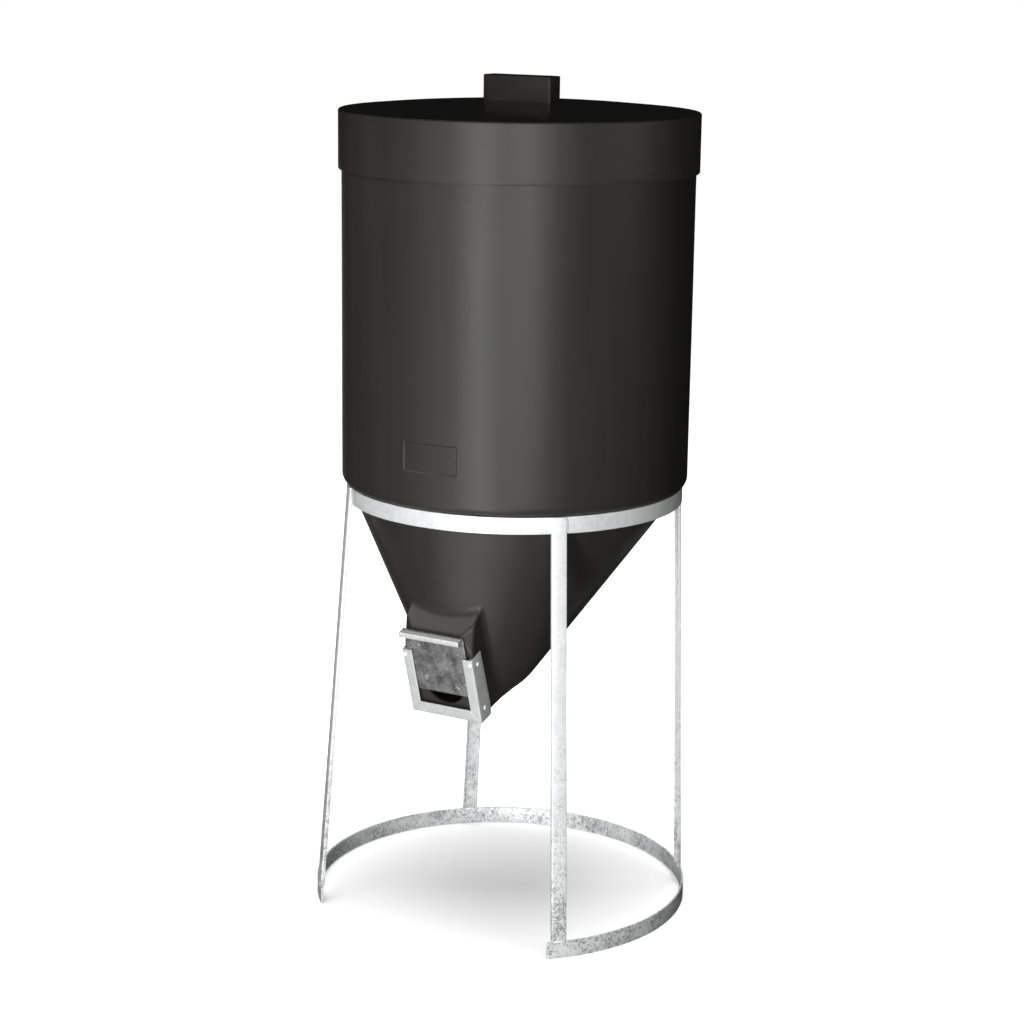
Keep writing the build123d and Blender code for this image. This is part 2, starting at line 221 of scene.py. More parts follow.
def recalculate_normals(obj):
    """Faces turned outward."""
    bm = bmesh.new()
    bm.from_mesh(obj.data)
    bmesh.ops.recalc_face_normals(bm, faces=bm.faces)
    bm.to_mesh(obj.data)
    bm.free()


def solid(name, vertices, faces):
    """Closed mesh object, its faces turned outward."""
    obj = new_object(name, vertices, faces)
    recalculate_normals(obj)
    return obj


def apply_modifiers(obj):
    """The mesh with its modifiers in it."""
    evaluated = obj.evaluated_get(bpy.context.evaluated_depsgraph_get())
    mesh = bpy.data.meshes.new_from_object(evaluated)
    old = obj.data
    obj.modifiers.clear()
    obj.data = mesh
    bpy.data.meshes.remove(old)


def combine(obj, other, operation):
    """Boolean of obj with other, which is used up."""
    modifier = obj.modifiers.new("combine", "BOOLEAN")
    modifier.object = other
    modifier.operation = operation
    modifier.solver = "EXACT"
    apply_modifiers(obj)
    bpy.data.objects.remove(other)


def soften(obj, width, segments, angle):
    """Small round on every edge sharper than an angle."""
    modifier = obj.modifiers.new("soften", "BEVEL")
    modifier.width = width
    modifier.segments = segments
    modifier.limit_method = "ANGLE"
    modifier.angle_limit = radians(angle)
    apply_modifiers(obj)


def join(obj, others):
    """The others' meshes added to obj's."""
    bm = bmesh.new()
    for piece in [obj, *others]:
        bm.from_mesh(piece.data)
    bm.to_mesh(obj.data)
    bm.free()
    for piece in others:
        bpy.data.objects.remove(piece)


def shade(obj, angle=35):
    """Smooth shading with creases sharper than an angle."""
    obj.data.shade_smooth()
    obj.data.set_sharp_from_angle(angle=radians(angle))


def place(obj, body, slot, material, *nodes):
    """Body and material of a piece, and the CAD nodes that it stands for. The slot argument is not
    used.
    """
    shade(obj)
    obj.data.materials.clear()
    obj.data.materials.append(material)
    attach(obj, body)
    if nodes:
        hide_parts(*nodes)
    return obj


def strip_faces(rows, columns, wrap, first=0):
    """Quads between rows of points, each row holding the same number of columns."""
    faces = []
    for row in range(rows - 1):
        for column in range(columns if wrap else columns - 1):
            a = first + row * columns + column
            b = first + row * columns + (column + 1) % columns
            faces.append((a, b, b + columns, a + columns))
    return faces


def lathe(name, profile, count):
    """Solid turned about Z from (radius, height) points."""
    vertices = []
    for r, z in profile:
        for i in range(count):
            angle = 2 * pi * i / count
            vertices.append((r * cos(angle), r * sin(angle), z))
    faces = strip_faces(len(profile), count, True)
    last = (len(profile) - 1) * count
    faces.append(tuple(range(count)))
    faces.append(tuple(last + i for i in range(count)))
    return solid(name, vertices, faces)


def arc_points(centre, r, start, end, count):
    """Points on a circle in a plane, angles in degrees."""
    angles = [radians(start + (end - start) * i / count) for i in range(count + 1)]
    return [(centre[0] + r * cos(a), centre[1] + r * sin(a)) for a in angles]


def rounded_rectangle(x, y, r, count=3):
    """Outline of a rectangle given by its ranges, corners rounded to r."""
    outline = []
    corners = [(x[1] - r, y[1] - r), (x[0] + r, y[1] - r), (x[0] + r, y[0] + r), (x[1] - r, y[0] + r)]
    for quarter, centre in enumerate(corners):
        outline += arc_points(centre, r, 90 * quarter, 90 * quarter + 90, count)
    return outline


def sweep(name, sections):
    """Solid through a list of outlines of points, each with the same count."""
    count = len(sections[0])
    vertices = [point for section in sections for point in section]
    faces = strip_faces(len(sections), count, True)
    faces.append(tuple(range(count)))
    faces.append(tuple((len(sections) - 1) * count + i for i in range(count)))
    return solid(name, vertices, faces)


def thick_sheet(name, outer, inner):
    """Bent sheet between two grids of points with the same rows and columns."""
    rows, columns = len(outer), len(outer[0])
    vertices = [p for row in outer for p in row] + [p for row in inner for p in row]
    half = rows * columns
    faces = strip_faces(rows, columns, False)
    faces += [tuple(reversed(f)) for f in strip_faces(rows, columns, False, half)]
    border = list(range(columns))
    border += [row * columns + columns - 1 for row in range(1, rows)]
    border += [(rows - 1) * columns + column for column in range(columns - 2, -1, -1)]
    border += [row * columns for row in range(rows - 2, 0, -1)]
    for i, a in enumerate(border):
        b = border[(i + 1) % len(border)]
        faces.append((b, a, a + half, b + half))
    return solid(name, vertices, faces)


# ---- Materials --------------------------------------------------------------------
# Noise scales are per metre, and bump distances are in metres.
class Material:
    """Node material being built: a Principled shader and helpers to wire it."""

    def __init__(self, name, **values):
        self.material = bpy.data.materials.new(name)
        self.material.use_nodes = True
        self.tree = self.material.node_tree
        self.shader = self.tree.nodes["Principled BSDF"]
        for socket, value in values.items():
            self.shader.inputs[socket.replace("_", " ")].default_value = value
        self.place = self.tree.nodes.new("ShaderNodeTexCoord").outputs["Object"]

    def node(self, kind, **inputs):
        """New node with values or links on its inputs."""
        node = self.tree.nodes.new("ShaderNode" + kind)
        for socket, value in inputs.items():
            self.feed(node.inputs[socket.replace("_", " ")], value)
        return node

    def feed(self, socket, value):
        """Link or value put on a socket."""
        if isinstance(value, bpy.types.NodeSocket):
            self.tree.links.new(value, socket)
        else:
            socket.default_value = value

    def stretched(self, scale, turn=(0, 0, 0)):
        """Object coordinates, turned and scaled."""
        mapping = self.node("Mapping", Vector=self.place, Scale=scale, Rotation=turn)
        return mapping.outputs["Vector"]

    def noise(self, vector, scale, detail=3.0, roughness=0.5, distortion=0.0):
        """Noise from 0 to 1."""
        node = self.node("TexNoise", Vector=vector, Scale=scale, Detail=detail,
                         Roughness=roughness, Distortion=distortion)
        return node.outputs["Fac"]

    def cells(self, vector, scale):
        """A random colour for each crystal-like cell, split into its channels."""
        node = self.node("TexVoronoi", Vector=vector, Scale=scale)
        return self.node("SeparateColor", Color=node.outputs["Color"]).outputs

    def height(self):
        """Height above the floor."""
        return self.node("SeparateXYZ", Vector=self.place).outputs["Z"]

    def span(self, value, low, high, to_low=0.0, to_high=1.0):
        """Value remapped from one range to another, clamped."""
        node = self.node("MapRange", Value=value)
        for socket, number in (("From Min", low), ("From Max", high),
                               ("To Min", to_low), ("To Max", to_high)):
            node.inputs[socket].default_value = number
        return node.outputs["Result"]

    def math(self, operation, a, b):
        """Sum, product or difference of two values."""
        node = self.tree.nodes.new("ShaderNodeMath")
        node.operation = operation
        self.feed(node.inputs[0], a)
        self.feed(node.inputs[1], b)
        return node.outputs[0]

    def mix(self, fac, a, b):
        """Two colours mixed."""
        node = self.tree.nodes.new("ShaderNodeMix")
        node.data_type = "RGBA"
        self.feed(node.inputs[0], fac)
        self.feed(node.inputs[6], a)
        self.feed(node.inputs[7], b)
        return node.outputs[2]

    def bump(self, height, strength, distance, normal=None):
        """Normal disturbed by a height, on top of another normal if one is given."""
        node = self.node("Bump", Height=height, Strength=strength, Distance=distance)
        if normal is not None:
            self.feed(node.inputs["Normal"], normal)
        return node.outputs["Normal"]

    def finish(self, **sockets):
        """The material, with the given values or links on its shader."""
        for socket, value in sockets.items():
            self.feed(self.shader.inputs[socket.replace("_", " ")], value)
        return self.material


def grey(value, warmth=0.0):
    """Opaque grey, warm when warmth is above zero."""
    return (value * (1 + warmth), value, value * (1 - warmth), 1)


def moulded_plastic(name, tone, gloss, polished=None):
    """Rotomoulded charcoal plastic: satin, with flow streaks, orange peel and dust.

    It is shinier between the two polished heights, if they are given.
    """
    m = Material(name, IOR=1.5, Specular_IOR_Level=0.5)
    streaks = m.noise(m.stretched((9, 9, 0.7)), 3.0, 4.0, 0.6)
    clouds = m.noise(m.place, 5.0, 3.0, 0.5)
    tone_now = m.mix(m.span(streaks, 0.3, 0.7), grey(tone * 0.9, 0.06), grey(tone * 1.1, 0.07))
    tone_now = m.mix(m.span(clouds, 0.35, 0.65, 0.0, 0.25), tone_now, grey(tone * 1.25, 0.06))
    specks = m.noise(m.place, 900.0, 1.0)
    tone_now = m.mix(m.span(specks, 0.74, 0.8, 0.0, 0.35), tone_now, grey(0.16, 0.02))
    scuffs = m.noise(m.stretched((60, 60, 9), (0.3, 0.2, 0)), 2.0, 6.0, 0.75, 0.6)
    roughness = m.span(streaks, 0.3, 0.7, gloss - 0.03, gloss + 0.03)
    roughness = m.math("ADD", roughness, m.span(scuffs, 0.6, 0.75, 0.0, 0.08))
    if polished:
        shine = m.math("MULTIPLY", m.span(m.height(), polished[0] - MM, polished[0]),
                       m.span(m.height(), polished[1] + MM, polished[1]))
        roughness = m.math("MULTIPLY", roughness, m.span(shine, 0.0, 1.0, 1.0, 0.42))
    peel = m.noise(m.place, 260.0, 2.0, 0.5)
    grain = m.noise(m.place, 1100.0, 2.0, 0.6)
    normal = m.bump(peel, 0.10, 0.0006)
    normal = m.bump(grain, 0.10, 0.0002, normal)
    return m.finish(Base_Color=tone_now, Roughness=roughness, Normal=normal)


def galvanised(name, bright, dark, marks, rough):
    """Hot-dip zinc: bright and faintly cloudy, with dark crackle near the floor."""
    m = Material(name, Metallic=0.30)
    clouds = m.noise(m.place, 55.0, 5.0, 0.7)
    brushed = m.noise(m.stretched((1, 1, 0.05)), 420.0, 3.0, 0.6)
    flakes = m.cells(m.place, 170.0)
    level = m.math("ADD", m.math("MULTIPLY", flakes[0], 0.2),
                   m.math("MULTIPLY", m.span(clouds, 0.3, 0.7), 0.5))
    level = m.math("ADD", level, m.math("MULTIPLY", m.span(brushed, 0.3, 0.7), 0.3))
    tone = m.mix(m.span(level, 0.15, 0.85), grey(bright * 0.80, -0.01), grey(bright, -0.005))
    low_down = m.span(m.height(), 0.55, 0.10)
    strokes = m.noise(m.stretched((1, 1, 0.8)), 210.0, 5.0, 0.72, 1.1)
    patches = m.noise(m.place, 17.0, 3.0, 0.6)
    crowd = m.math("ADD", m.span(patches, 0.35, 0.65, -0.06, 0.06),
                   m.math("MULTIPLY", low_down, 0.07))
    marked = m.span(m.math("ADD", strokes, crowd), 0.55, 0.68)
    marked = m.math("MULTIPLY", marked, m.span(low_down, 0.0, 1.0, 0.12, 1.0))
    tone = m.mix(m.math("MULTIPLY", marked, marks), tone, grey(dark, -0.02))
    bloom = m.noise(m.place, 38.0, 6.0, 0.75)
    pale = m.span(bloom, 0.56, 0.70, 0.0, 0.5)
    tone = m.mix(pale, tone, grey(min(bright * 1.12, 0.92)))
    roughness = m.span(flakes[2], 0.0, 1.0, rough - 0.06, rough + 0.06)
    roughness = m.math("ADD", roughness, m.math("MULTIPLY", pale, 0.2))
    runs = m.noise(m.stretched((1, 1, 0.18)), 150.0, 3.0, 0.5)
    normal = m.bump(level, 0.12, 0.0005)
    normal = m.bump(runs, 0.22, 0.0008, normal)
    return m.finish(Base_Color=tone, Roughness=roughness, Normal=normal)


def weathered_plate(name, bright, dark, crust):
    """Dull zinc sheet: dark and light clouds, fine spangle and a few pale crusts, and a painted
    highlight on the folded pull lip.
    """
    m = Material(name, Metallic=0.45)
    clouds = m.noise(m.stretched((1, 1, 0.8)), 34.0, 3.0, 0.55, 0.5)
    warp = m.noise(m.place, 160.0, 3.0, 0.6)
    shifted = m.node("VectorMath")
    shifted.operation = "ADD"
    m.feed(shifted.inputs[0], m.place)
    m.feed(shifted.inputs[1], m.math("MULTIPLY", m.math("SUBTRACT", warp, 0.5), 0.008))
    spangle = m.cells(shifted.outputs[0], 190.0)
    mottle = m.noise(m.place, 120.0, 5.0, 0.7, 0.4)
    level = m.math("ADD", m.math("MULTIPLY", m.span(clouds, 0.32, 0.66), 0.5),
                   m.math("MULTIPLY", m.span(mottle, 0.32, 0.68), 0.38))
    level = m.math("ADD", level, m.math("MULTIPLY", spangle[0], 0.12))
    tone = m.mix(m.span(level, 0.15, 0.85), grey(dark, -0.01), grey(bright, 0.0))
    crusts = m.noise(m.stretched((1, 1, 1.4)), 58.0, 6.0, 0.72, 0.8)
    pale = m.span(crusts, 0.585, 0.65, 0.0, 0.85)
    tone = m.mix(pale, tone, grey(crust))
    # Painted highlight: the sheet standing out of the gate plane, the top fold and the pull lip, is
    # painted pale.
    lip_highlight_depth = m.node("VectorMath", Vector=m.place)
    lip_highlight_depth.operation = "DOT_PRODUCT"
    lip_highlight_depth.inputs[1].default_value = GATE_OUT
    start = GATE_OUT.dot(GATE_CENTRE)
    lip = m.span(lip_highlight_depth.outputs["Value"], start, start + BEND_R)
    tone = m.mix(lip, tone, m.mix(m.span(mottle, 0.3, 0.7), grey(crust), grey(0.92)))
    roughness = m.math("ADD", m.span(level, 0.0, 1.0, 0.46, 0.34), m.math("MULTIPLY", pale, 0.2))
    normal = m.bump(level, 0.25, 0.0006)
    normal = m.bump(crusts, 0.25, 0.0010, normal)
    return m.finish(Base_Color=tone, Roughness=roughness, Normal=normal)


def rivet_alloy(name):
    """Bright aluminium with fine set marks."""
    m = Material(name, Metallic=0.2)
    marks = m.noise(m.place, 700.0, 4.0, 0.6)
    tone = m.mix(m.span(marks, 0.3, 0.7), grey(0.88), grey(0.97))
    rough = m.span(marks, 0.3, 0.7, 0.24, 0.36)
    return m.finish(Base_Color=tone, Roughness=rough, Normal=m.bump(marks, 0.15, 0.0003))


TANK_PLASTIC = moulded_plastic("tank_plastic", 0.035, 0.40)
# The lid's plastic is painted lighter than the tank's same charcoal: painted light that brightens the
# handle's shaded front and the skirt.
LID_PLASTIC = moulded_plastic("lid_plastic", 0.044, 0.40, (LID_TOP_Z, LID_TOP_Z + LID_RISE))
BAR_ZINC = galvanised("galvanised_bar", 0.84, 0.15, 0.80, 0.42)
SHEET_ZINC = galvanised("galvanised_sheet", 0.66, 0.40, 0.30, 0.36)
PLATE_ZINC = weathered_plate("gate_sheet", 0.29, 0.06, 0.60)
RIVET_METAL = rivet_alloy("rivet_metal")
WELD_ZINC = galvanised("galvanised_weld", 0.88, 0.50, 0.25, 0.40)


# ---- Hopper body ------------------------------------------------------------------
def floor_height(y):
    """Height of the sloping outlet floor's outer face."""
    return FLOOR_POINT[1] + (y - FLOOR_POINT[0]) * tan(FLOOR_SLOPE)


def rounded_inside(gaps, r):
    """Gap to the space inside all the given surfaces, its edges rounded to r."""
    over = sum(np.maximum(gap + r, 0) ** 2 for gap in gaps)
    return np.minimum(np.maximum.reduce(gaps), -r) + np.sqrt(over)


def blended(a, b, width):
    """Gap to the union of two spaces, with a soft crease of a given width."""
    share = np.clip(0.5 + 0.5 * (b - a) / width, 0, 1)
    return b + (a - b) * share - width * share * (1 - share)


def plane_gap(points, origin, normal):
    """Signed distance of points from a plane."""
    return (points - np.array(origin)) @ np.array(normal)


def hopper_gap(points, inset_cone, inset_floor, inset_neck):
    """Gap from points to the surface of cone and neck, drawn in by the insets."""
    x, y, z = points.T
    t = (CONE_TOP_Z - z) / (CONE_TOP_Z - CONE_END_Z)
    r = CONE_TOP_R + (CONE_END_R - CONE_TOP_R) * t - inset_cone
    slope = (CONE_TOP_R - CONE_END_R) / (CONE_TOP_Z - CONE_END_Z)
    cone = (np.hypot(x, y - CONE_END_Y * t) - r) / sqrt(1 + slope**2)
    floor = (floor_height(y) + inset_floor - z) * cos(FLOOR_SLOPE)
    cone = rounded_inside([cone, floor], FLOOR_ROUND - inset_floor)

    sides = np.abs(x) - NECK_HALF + inset_neck
    tube = rounded_inside([sides, floor], NECK_ROUND - inset_neck)
    seat = plane_gap(points, gate_point(0, 0, SEAT_N - inset_neck), GATE_OUT)
    brow = gate_point(0, SEAT_TOP - inset_neck, SEAT_N - inset_neck)
    roof = plane_gap(points, brow, (0, -sin(ROOF_SLOPE), cos(ROOF_SLOPE)))
    back = y - NECK_BACK_Y
    neck = rounded_inside([tube, seat, roof, shoulder_gap(points, inset_neck)], NECK_EDGE)
    neck = np.maximum(neck, back)
    return blended(cone, neck, NECK_BLEND)


def shoulder_gap(points, inset):
    """Gap to the sloping cuts that narrow the neck's face above the gate frame."""
    half = NECK_HALF - inset
    low = gate_point(half, SHOULDER_LOW_W, SEAT_N - inset)
    inner = gate_point(half - SHOULDER_TAPER, SEAT_TOP - inset, SEAT_N - inset)
    high = Vector((half, SHOULDER_HIGH[0] + inset, SHOULDER_HIGH[1]))
    normal = (high - low).cross(inner - low).normalized()
    if normal.x < 0:
        normal = -normal
    mirrored = np.abs(points[:, 0])
    folded = np.column_stack([mirrored, points[:, 1], points[:, 2]])
    return plane_gap(folded, low, normal)


def cast(origins, directions, insets):
    """Where rays from inside meet the hopper's surface, by bisection."""
    near, far = np.zeros(len(origins)), np.ones(len(origins))
    for _ in range(CAST_HALVINGS):
        middle = (near + far) / 2
        inside = hopper_gap(origins + directions * middle[:, None], *insets) < 0
        near = np.where(inside, middle, near)
        far = np.where(inside, far, middle)
    return origins + directions * ((near + far) / 2)[:, None]


def hopper_azimuths():
    """Columns of the hopper's mesh: finest at the neck, with a pair at each label edge."""
    left = np.arange(FRONT_ARC[0], NECK_ARC[0], 1.0)
    neck = np.arange(NECK_ARC[0], NECK_ARC[1] + 0.01, 0.5)
    right = np.arange(NECK_ARC[1] + 1, FRONT_ARC[1] + 0.01, 1.0)
    rest = np.arange(FRONT_ARC[1] + 2.5, FRONT_ARC[0] + 360 - 0.01, 2.5)
    edges = []
    for side in (-0.5, 0.5):
        edge = LABEL_AZIMUTH + side * LABEL_ARC
        edges += [edge - LABEL_SLOPE_ARC, edge + LABEL_SLOPE_ARC]
    around = np.concatenate([left, neck, right, rest])
    plain = [a for a in around if min(abs(a - e) for e in edges) > 0.24]
    return np.radians(np.sort(np.array(plain + edges)))


def cone_rows(azimuths, insets, level_step, dip_step):
    """Rows of points down the cone and neck, and round under the floor to its middle."""
    low_y, low_z = CAST_POINT
    out = np.column_stack([np.cos(azimuths), np.sin(azimuths), np.zeros(len(azimuths))])
    rows = []
    for z in np.arange(CONE_TOP_Z - level_step, low_z, -level_step):
        origin = np.array([0, low_y * (CONE_TOP_Z - z) / (CONE_TOP_Z - low_z), z])
        rows.append(cast(np.tile(origin, (len(out), 1)), out, insets))
    centre = np.tile([0, low_y, low_z], (len(out), 1))
    for dip in np.radians(np.arange(0, 90, dip_step)):
        rows.append(cast(centre, out * cos(dip) + np.array([0, 0, -sin(dip)]), insets))
    pole = cast(centre[:1], np.array([[0, 0, -1.0]]), insets)
    return rows, pole


def label_sink(azimuth, z):
    """How far the barrel is let in for the label panel."""
    arc = abs(degrees(azimuth) - LABEL_AZIMUTH) < LABEL_ARC / 2
    return LABEL_DEPTH if arc and LABEL_Z[0] < z < LABEL_Z[1] else 0.0


def barrel_ripple(azimuth, z):
    """Slight unevenness of a moulded barrel, never outward."""
    place_now = Vector((2.4 * cos(azimuth), 2.4 * sin(azimuth), 3.2 * z))
    ripple = BARREL_RIPPLE * (noise.noise(place_now) - 0.5)
    for dent_azimuth, dent_z, arc, rise in DENTS:
        off = ((degrees(azimuth) - dent_azimuth) / arc) ** 2 + ((z - dent_z) / rise) ** 2
        ripple -= DENT_DEPTH * exp(-off)
    return min(ripple, 0.0)


def barrel_rows(azimuths, profile, uneven):
    """Rows of points round the barrel from a (radius, height) profile."""
    rows = []
    for r, z in profile:
        row = []
        for a in azimuths:
            now = r
            if uneven:
                now += barrel_ripple(a, z) - label_sink(a, z)
            row.append((now * cos(a), now * sin(a), z))
        rows.append(np.array(row))
    return rows


def barrel_outside():
    """Profile of the barrel's outer face from rim to cone, with rows at the label's edges."""
    low = TANK_BOTTOM_Z + CORNER_R
    heights = list(np.arange(RIM_Z - 14 * MM, low + 6 * MM, -12 * MM))
    heights = [z for z in heights if min(abs(z - e) for e in LABEL_Z) > 3 * MM]
    heights += [e + s * LABEL_SLOPE for e in LABEL_Z for s in (-1, 1)]
    rim = [(TANK_R - 2 * MM, RIM_Z), (TANK_R - 0.6 * MM, RIM_Z - 0.6 * MM), (TANK_R, RIM_Z - 2 * MM)]
    side = [(TANK_R, z) for z in sorted(heights, reverse=True)]
    foot = arc_points((TANK_R - CORNER_R, low), CORNER_R, 0, -81.3, 10)
    return rim + side + foot + [(CONE_TOP_R, TANK_BOTTOM_Z), (CONE_TOP_R, CONE_TOP_Z)]


def barrel_inside():
    """Profile of the barrel's inner face from rim to cone."""
    edge = 0.15 * MM
    low = TANK_BOTTOM_Z + CORNER_R
    wall_r, cone_r = TANK_R - TANK_WALL, CONE_TOP_R - CONE_WALL
    rim = [(wall_r + edge, RIM_Z), (wall_r, RIM_Z - 2 * edge)]
    side = [(wall_r, z) for z in np.arange(RIM_Z - 60 * MM, low, -60 * MM)]
    foot = arc_points((TANK_R - CORNER_R, low), CORNER_R - TANK_WALL, 0, -88, 6)
    return rim + side + foot + [(cone_r, TANK_BOTTOM_Z + TANK_WALL), (cone_r, CONE_TOP_Z)]


def hopper_body():
    """Tank, cone and outlet neck as one hollow moulding."""
    azimuths = hopper_azimuths()
    skin, skin_pole = cone_rows(azimuths, (0, 0, 0), 3.6 * MM, 2.0)
    insets = (CONE_WALL, FLOOR_WALL, NECK_WALL)
    lining, lining_pole = cone_rows(azimuths, insets, 9 * MM, 4.5)
    outside = barrel_rows(azimuths, barrel_outside(), True) + skin
    inside = barrel_rows(azimuths, barrel_inside(), False) + lining
    rows = list(reversed(outside)) + inside
    count = len(azimuths)
    vertices = np.vstack(rows + [skin_pole, lining_pole])
    faces = strip_faces(len(rows), count, True)
    outer_pole, inner_pole = len(rows) * count, len(rows) * count + 1
    last = (len(rows) - 1) * count
    for i in range(count):
        j = (i + 1) % count
        faces.append((outer_pole, j, i))
        faces.append((inner_pole, last + i, last + j))
    body = solid("hopper_shell", vertices, faces)
    bore = lathe("bore", [(OUTLET_R, -3 * NECK_WALL), (OUTLET_R, 3 * NECK_WALL)], 120)
    bore.data.transform(GATE_FRAME @ Matrix.Translation((0, 0, SEAT_N)))
    combine(body, bore, "DIFFERENCE")
    place(body, STAND, "tank_plastic", TANK_PLASTIC, "hopper_body")
    shade(body, 50)
    crease_label(body)
    return body


def crease_label(body):
    """Crisp edges on the label panel's sloping border."""
    bm = bmesh.new()
    bm.from_mesh(body.data)
    margin = 3 * LABEL_SLOPE
    for edge in bm.edges:
        centre = (edge.verts[0].co + edge.verts[1].co) / 2
        level = LABEL_Z[0] - margin < centre.z < LABEL_Z[1] + margin
        if level and len(edge.link_faces) == 2 and edge.calc_face_angle() > radians(18):
            edge.smooth = False
    bm.to_mesh(body.data)
    bm.free()


# ---- Lid --------------------------------------------------------------------------
def block(name, x, y, z):
    """Box given by its ranges."""
    vertices = [(a, b, c) for c in z for b in y for a in x]
    faces = [(0, 1, 3, 2), (4, 6, 7, 5), (0, 4, 5, 1), (1, 5, 7, 3), (3, 7, 6, 2), (2, 6, 4, 0)]
    return solid(name, vertices, faces)


def dome_z(r, inset=0.0):
    """Height of the lid's domed top at a radius, drawn in by inset."""
    edge_r = LID_R - LID_ROUND
    dome_r = (edge_r**2 + LID_RISE**2) / (2 * LID_RISE)
    return LID_TOP_Z + LID_RISE - dome_r + sqrt((dome_r - inset) ** 2 - r**2)


def lid_outside():
    """Profile of the lid's outer face, from the skirt's lip to the middle of the dome."""
    crown = arc_points((LID_R - LID_ROUND, LID_TOP_Z - LID_ROUND), LID_ROUND, 0, 90, 6)
    lip = arc_points((LID_R - LID_LIP_R, LID_SKIRT_Z + LID_LIP_R), LID_LIP_R, -90, 0, 3)
    skirt = [(LID_R, z) for z in np.linspace(LID_SKIRT_Z + 12 * MM, LID_TOP_Z - 12 * MM, 7)]
    top = [(r, dome_z(r)) for r in np.linspace(LID_R - 20 * MM, 20 * MM, 24)]
    return lip + skirt + crown + top


def lid_inside():
    """Profile of the lid's inner face, from the middle of the dome to the skirt's lip."""
    inner_r = LID_R - LID_WALL
    ceiling = LID_TOP_Z - LID_WALL
    dome = [(r, dome_z(r, LID_WALL)) for r in np.linspace(20 * MM, inner_r - 10 * MM, 16)]
    corner = arc_points((inner_r - 2 * MM, ceiling - 2 * MM), 2 * MM, 90, 0, 3)
    wall = [(inner_r, z) for z in np.linspace(ceiling - 20 * MM, LID_SKIRT_Z + 0.5 * MM, 5)]
    return dome + corner + wall


def lid_shell():
    """Lid without its handle, slightly uneven on the outside."""
    profile, inner = lid_outside(), lid_inside()
    count = LID_COUNT
    vertices = []
    for r, z in profile:
        for i in range(count):
            a = 2 * pi * i / count
            wave = noise.noise(Vector((3 * cos(a), 3 * sin(a), 4 * z))) - 0.4
            now = r + min(SKIRT_RIPPLE * wave, 0) if z < LID_TOP_Z - LID_ROUND else r
            dip = noise.noise(Vector((7 * r * cos(a), 7 * r * sin(a), 0))) - 0.3
            level = z + min(DOME_RIPPLE * dip, 0) if z > LID_TOP_Z else z
            vertices.append((now * cos(a), now * sin(a), level))
    for r, z in inner:
        for i in range(count):
            a = 2 * pi * i / count
            vertices.append((r * cos(a), r * sin(a), z))
    faces = strip_faces(len(profile), count, True)
    first_inner = len(profile) * count
    faces += strip_faces(len(inner), count, True, first_inner)
    faces.append(tuple(first_inner - count + i for i in range(count)))
    faces.append(tuple(first_inner + i for i in range(count)))
    last = first_inner + (len(inner) - 1) * count
    for i in range(count):
        j = (i + 1) % count
        faces.append((i, j, last + j, last + i))
    return solid("lid_moulding", vertices, faces)


def lid():
    """Domed lid with a deep skirt, a rounded shoulder and a hollow block handle."""
    cap = lid_shell()
    x, y = HANDLE_LENGTH / 2, HANDLE_DEPTH / 2
    foot_z = LID_TOP_Z + LID_RISE - 0.7 * LID_WALL
    grip = block("grip", (HANDLE_X - x, HANDLE_X + x), (-y, y), (foot_z, HANDLE_TOP_Z))
    bm = bmesh.new()
    bm.from_mesh(grip.data)
    upper = [e for e in bm.edges if max(v.co.z for v in e.verts) > foot_z + MM]
    bmesh.ops.bevel(bm, geom=upper, offset=HANDLE_ROUND, segments=4, affect="EDGES", profile=0.5)
    bm.to_mesh(grip.data)
    bm.free()
    combine(cap, grip, "UNION")
    x, y = x - HANDLE_WALL, y - HANDLE_WALL
    hollow = block("hollow", (HANDLE_X - x, HANDLE_X + x), (-y, y),
                   (foot_z - 5 * MM, HANDLE_TOP_Z - HANDLE_WALL))
    combine(cap, hollow, "DIFFERENCE")
    return place(cap, LID, "lid_plastic", LID_PLASTIC, "lid")


# ---- Stand ------------------------------------------------------------------------
def bar_section(azimuth, z, r_outer, centre):
    """Outline of the flat bar where it crosses an azimuth."""
    outline = rounded_rectangle((-BAR, 0), z, BAR_ROUND)
    out = radial(azimuth)
    return [centre + out * (r_outer + a) + Vector((0, 0, b)) for a, b in outline]


def top_ring():
    """Closed ring rolled from flat bar."""
    count = RING_COUNT
    vertices = []
    for i in range(count):
        vertices += bar_section(360 * i / count, TOP_RING_Z, TOP_RING_R, Vector())
    around = len(vertices) // count
    faces = strip_faces(count, around, True)
    last = (count - 1) * around
    for i in range(around):
        j = (i + 1) % around
        faces.append((last + i, last + j, j, i))
    ring = solid("top_ring_bar", vertices, faces)
    return place(ring, STAND, "galvanised_bar", BAR_ZINC, "top_ring")


